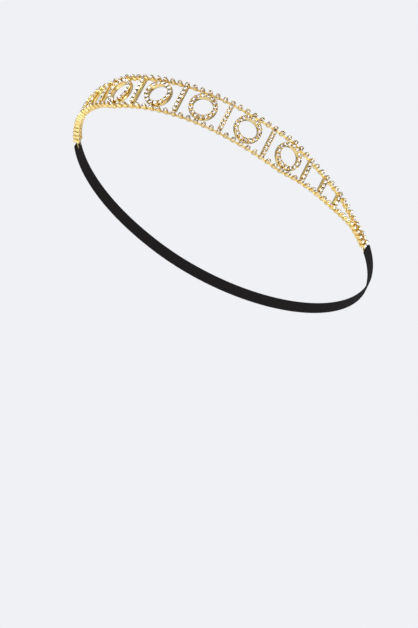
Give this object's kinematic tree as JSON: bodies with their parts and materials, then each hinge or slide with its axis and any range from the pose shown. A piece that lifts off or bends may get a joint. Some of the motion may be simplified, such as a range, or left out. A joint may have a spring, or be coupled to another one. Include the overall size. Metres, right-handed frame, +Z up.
{
  "type": "crystal headband",
  "caption": "Gold-tone headband of crystal cup chain: two rails joined by crystal rings and short crystal bars, closed behind the head by a flat black elastic.",
  "frame": {"origin": "middle of the space that the head fills, in the plane half way between the two rails", "axes": "+Z up along the axis of the loop, -Y towards the wearer's forehead, +X to the wearer's left. The middle ring sits 30 mm round from the forehead's middle towards +X, as the band is worn in the picture"},
  "size_m": [0.1606, 0.1861, 0.0194],
  "materials": {
    "gold_metal": "polished gold plate",
    "clear_crystal": "faceted clear crystal with a foiled back",
    "black_elastic": "flat woven elastic with fine lengthwise ribs"
  },
  "bodies": {
    "root": {"upper_rail": "gold_metal", "lower_rail": "gold_metal", "ring_1": "gold_metal", "ring_2": "gold_metal", "ring_3": "gold_metal", "ring_4": "gold_metal", "ring_5": "gold_metal", "bar_1": "gold_metal", "bar_2": "gold_metal", "bar_3": "gold_metal", "bar_4": "gold_metal", "bar_5": "gold_metal", "bar_6": "gold_metal", "bar_7": "gold_metal", "bar_8": "gold_metal", "bar_9": "gold_metal", "bar_10": "gold_metal", "upper_rail_crystals": "clear_crystal", "lower_rail_crystals": "clear_crystal", "ring_1_crystals": "clear_crystal", "ring_2_crystals": "clear_crystal", "ring_3_crystals": "clear_crystal", "ring_4_crystals": "clear_crystal", "ring_5_crystals": "clear_crystal", "bar_1_crystals": "clear_crystal", "bar_2_crystals": "clear_crystal", "bar_3_crystals": "clear_crystal", "bar_4_crystals": "clear_crystal", "bar_5_crystals": "clear_crystal", "bar_6_crystals": "clear_crystal", "bar_7_crystals": "clear_crystal", "bar_8_crystals": "clear_crystal", "bar_9_crystals": "clear_crystal", "bar_10_crystals": "clear_crystal", "elastic_band": "black_elastic"}
  },
  "joints": []
}
